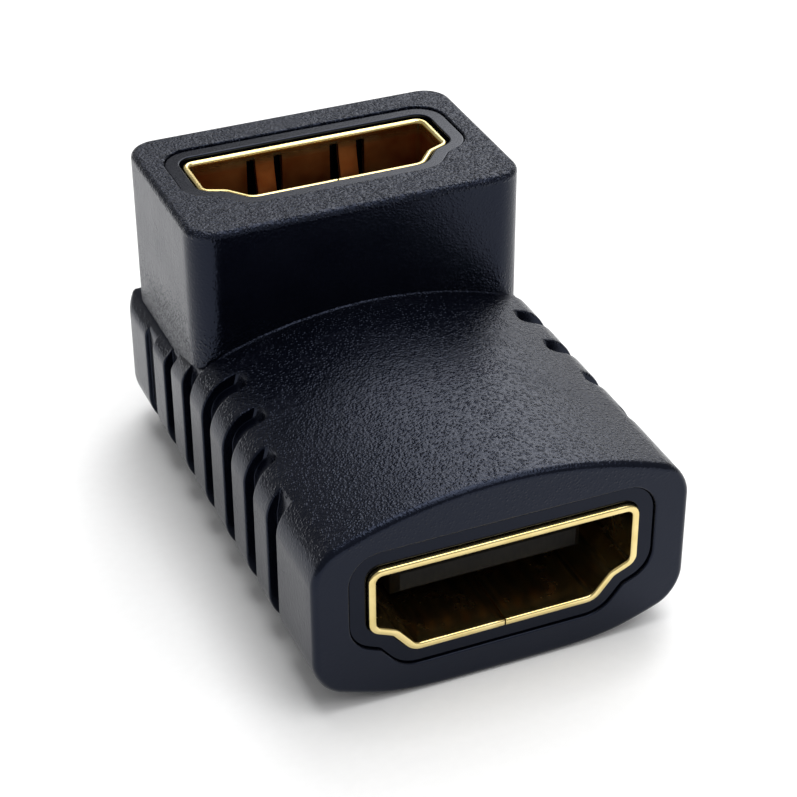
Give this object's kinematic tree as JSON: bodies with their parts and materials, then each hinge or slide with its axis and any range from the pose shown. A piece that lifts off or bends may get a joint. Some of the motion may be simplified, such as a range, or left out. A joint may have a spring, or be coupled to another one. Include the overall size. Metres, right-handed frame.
{
  "type": "hdmi adapter",
  "caption": "Right-angle coupler that joins two flat video plugs: a ribbed moulded L with a gilt D-shaped socket in its front end and one facing up at the back.",
  "frame": {"origin": "on the resting face under the lower body, midway along its length and width", "axes": "+Y along the arm from the front socket to the back, the upper socket faces +Z, and the two sides mirror each other across X"},
  "size_m": [0.0206, 0.031, 0.0179],
  "materials": {
    "housing_plastic": "spark-textured blue-black overmoulding",
    "mould_plastic": "smooth dark moulding",
    "shell_gold": "thin bright gold plate",
    "contact_gold": "bright gold plate",
    "insulator_plastic": "black glass-filled polymer",
    "board_laminate": "green solder mask"
  },
  "bodies": {
    "root": {"outer_housing": "housing_plastic", "inner_mould": "mould_plastic", "front_shell": "shell_gold", "top_shell": "shell_gold", "front_insulator": "insulator_plastic", "top_insulator": "insulator_plastic", "circuit_board": "board_laminate", "front_contact_01": "contact_gold", "front_contact_02": "contact_gold", "front_contact_03": "contact_gold", "front_contact_04": "contact_gold", "front_contact_05": "contact_gold", "front_contact_06": "contact_gold", "front_contact_07": "contact_gold", "front_contact_08": "contact_gold", "front_contact_09": "contact_gold", "front_contact_10": "contact_gold", "front_contact_11": "contact_gold", "front_contact_12": "contact_gold", "front_contact_13": "contact_gold", "front_contact_14": "contact_gold", "front_contact_15": "contact_gold", "front_contact_16": "contact_gold", "front_contact_17": "contact_gold", "front_contact_18": "contact_gold", "front_contact_19": "contact_gold", "top_contact_01": "contact_gold", "top_contact_02": "contact_gold", "top_contact_03": "contact_gold", "top_contact_04": "contact_gold", "top_contact_05": "contact_gold", "top_contact_06": "contact_gold", "top_contact_07": "contact_gold", "top_contact_08": "contact_gold", "top_contact_09": "contact_gold", "top_contact_10": "contact_gold", "top_contact_11": "contact_gold", "top_contact_12": "contact_gold", "top_contact_13": "contact_gold", "top_contact_14": "contact_gold", "top_contact_15": "contact_gold", "top_contact_16": "contact_gold", "top_contact_17": "contact_gold", "top_contact_18": "contact_gold", "top_contact_19": "contact_gold"}
  },
  "joints": []
}
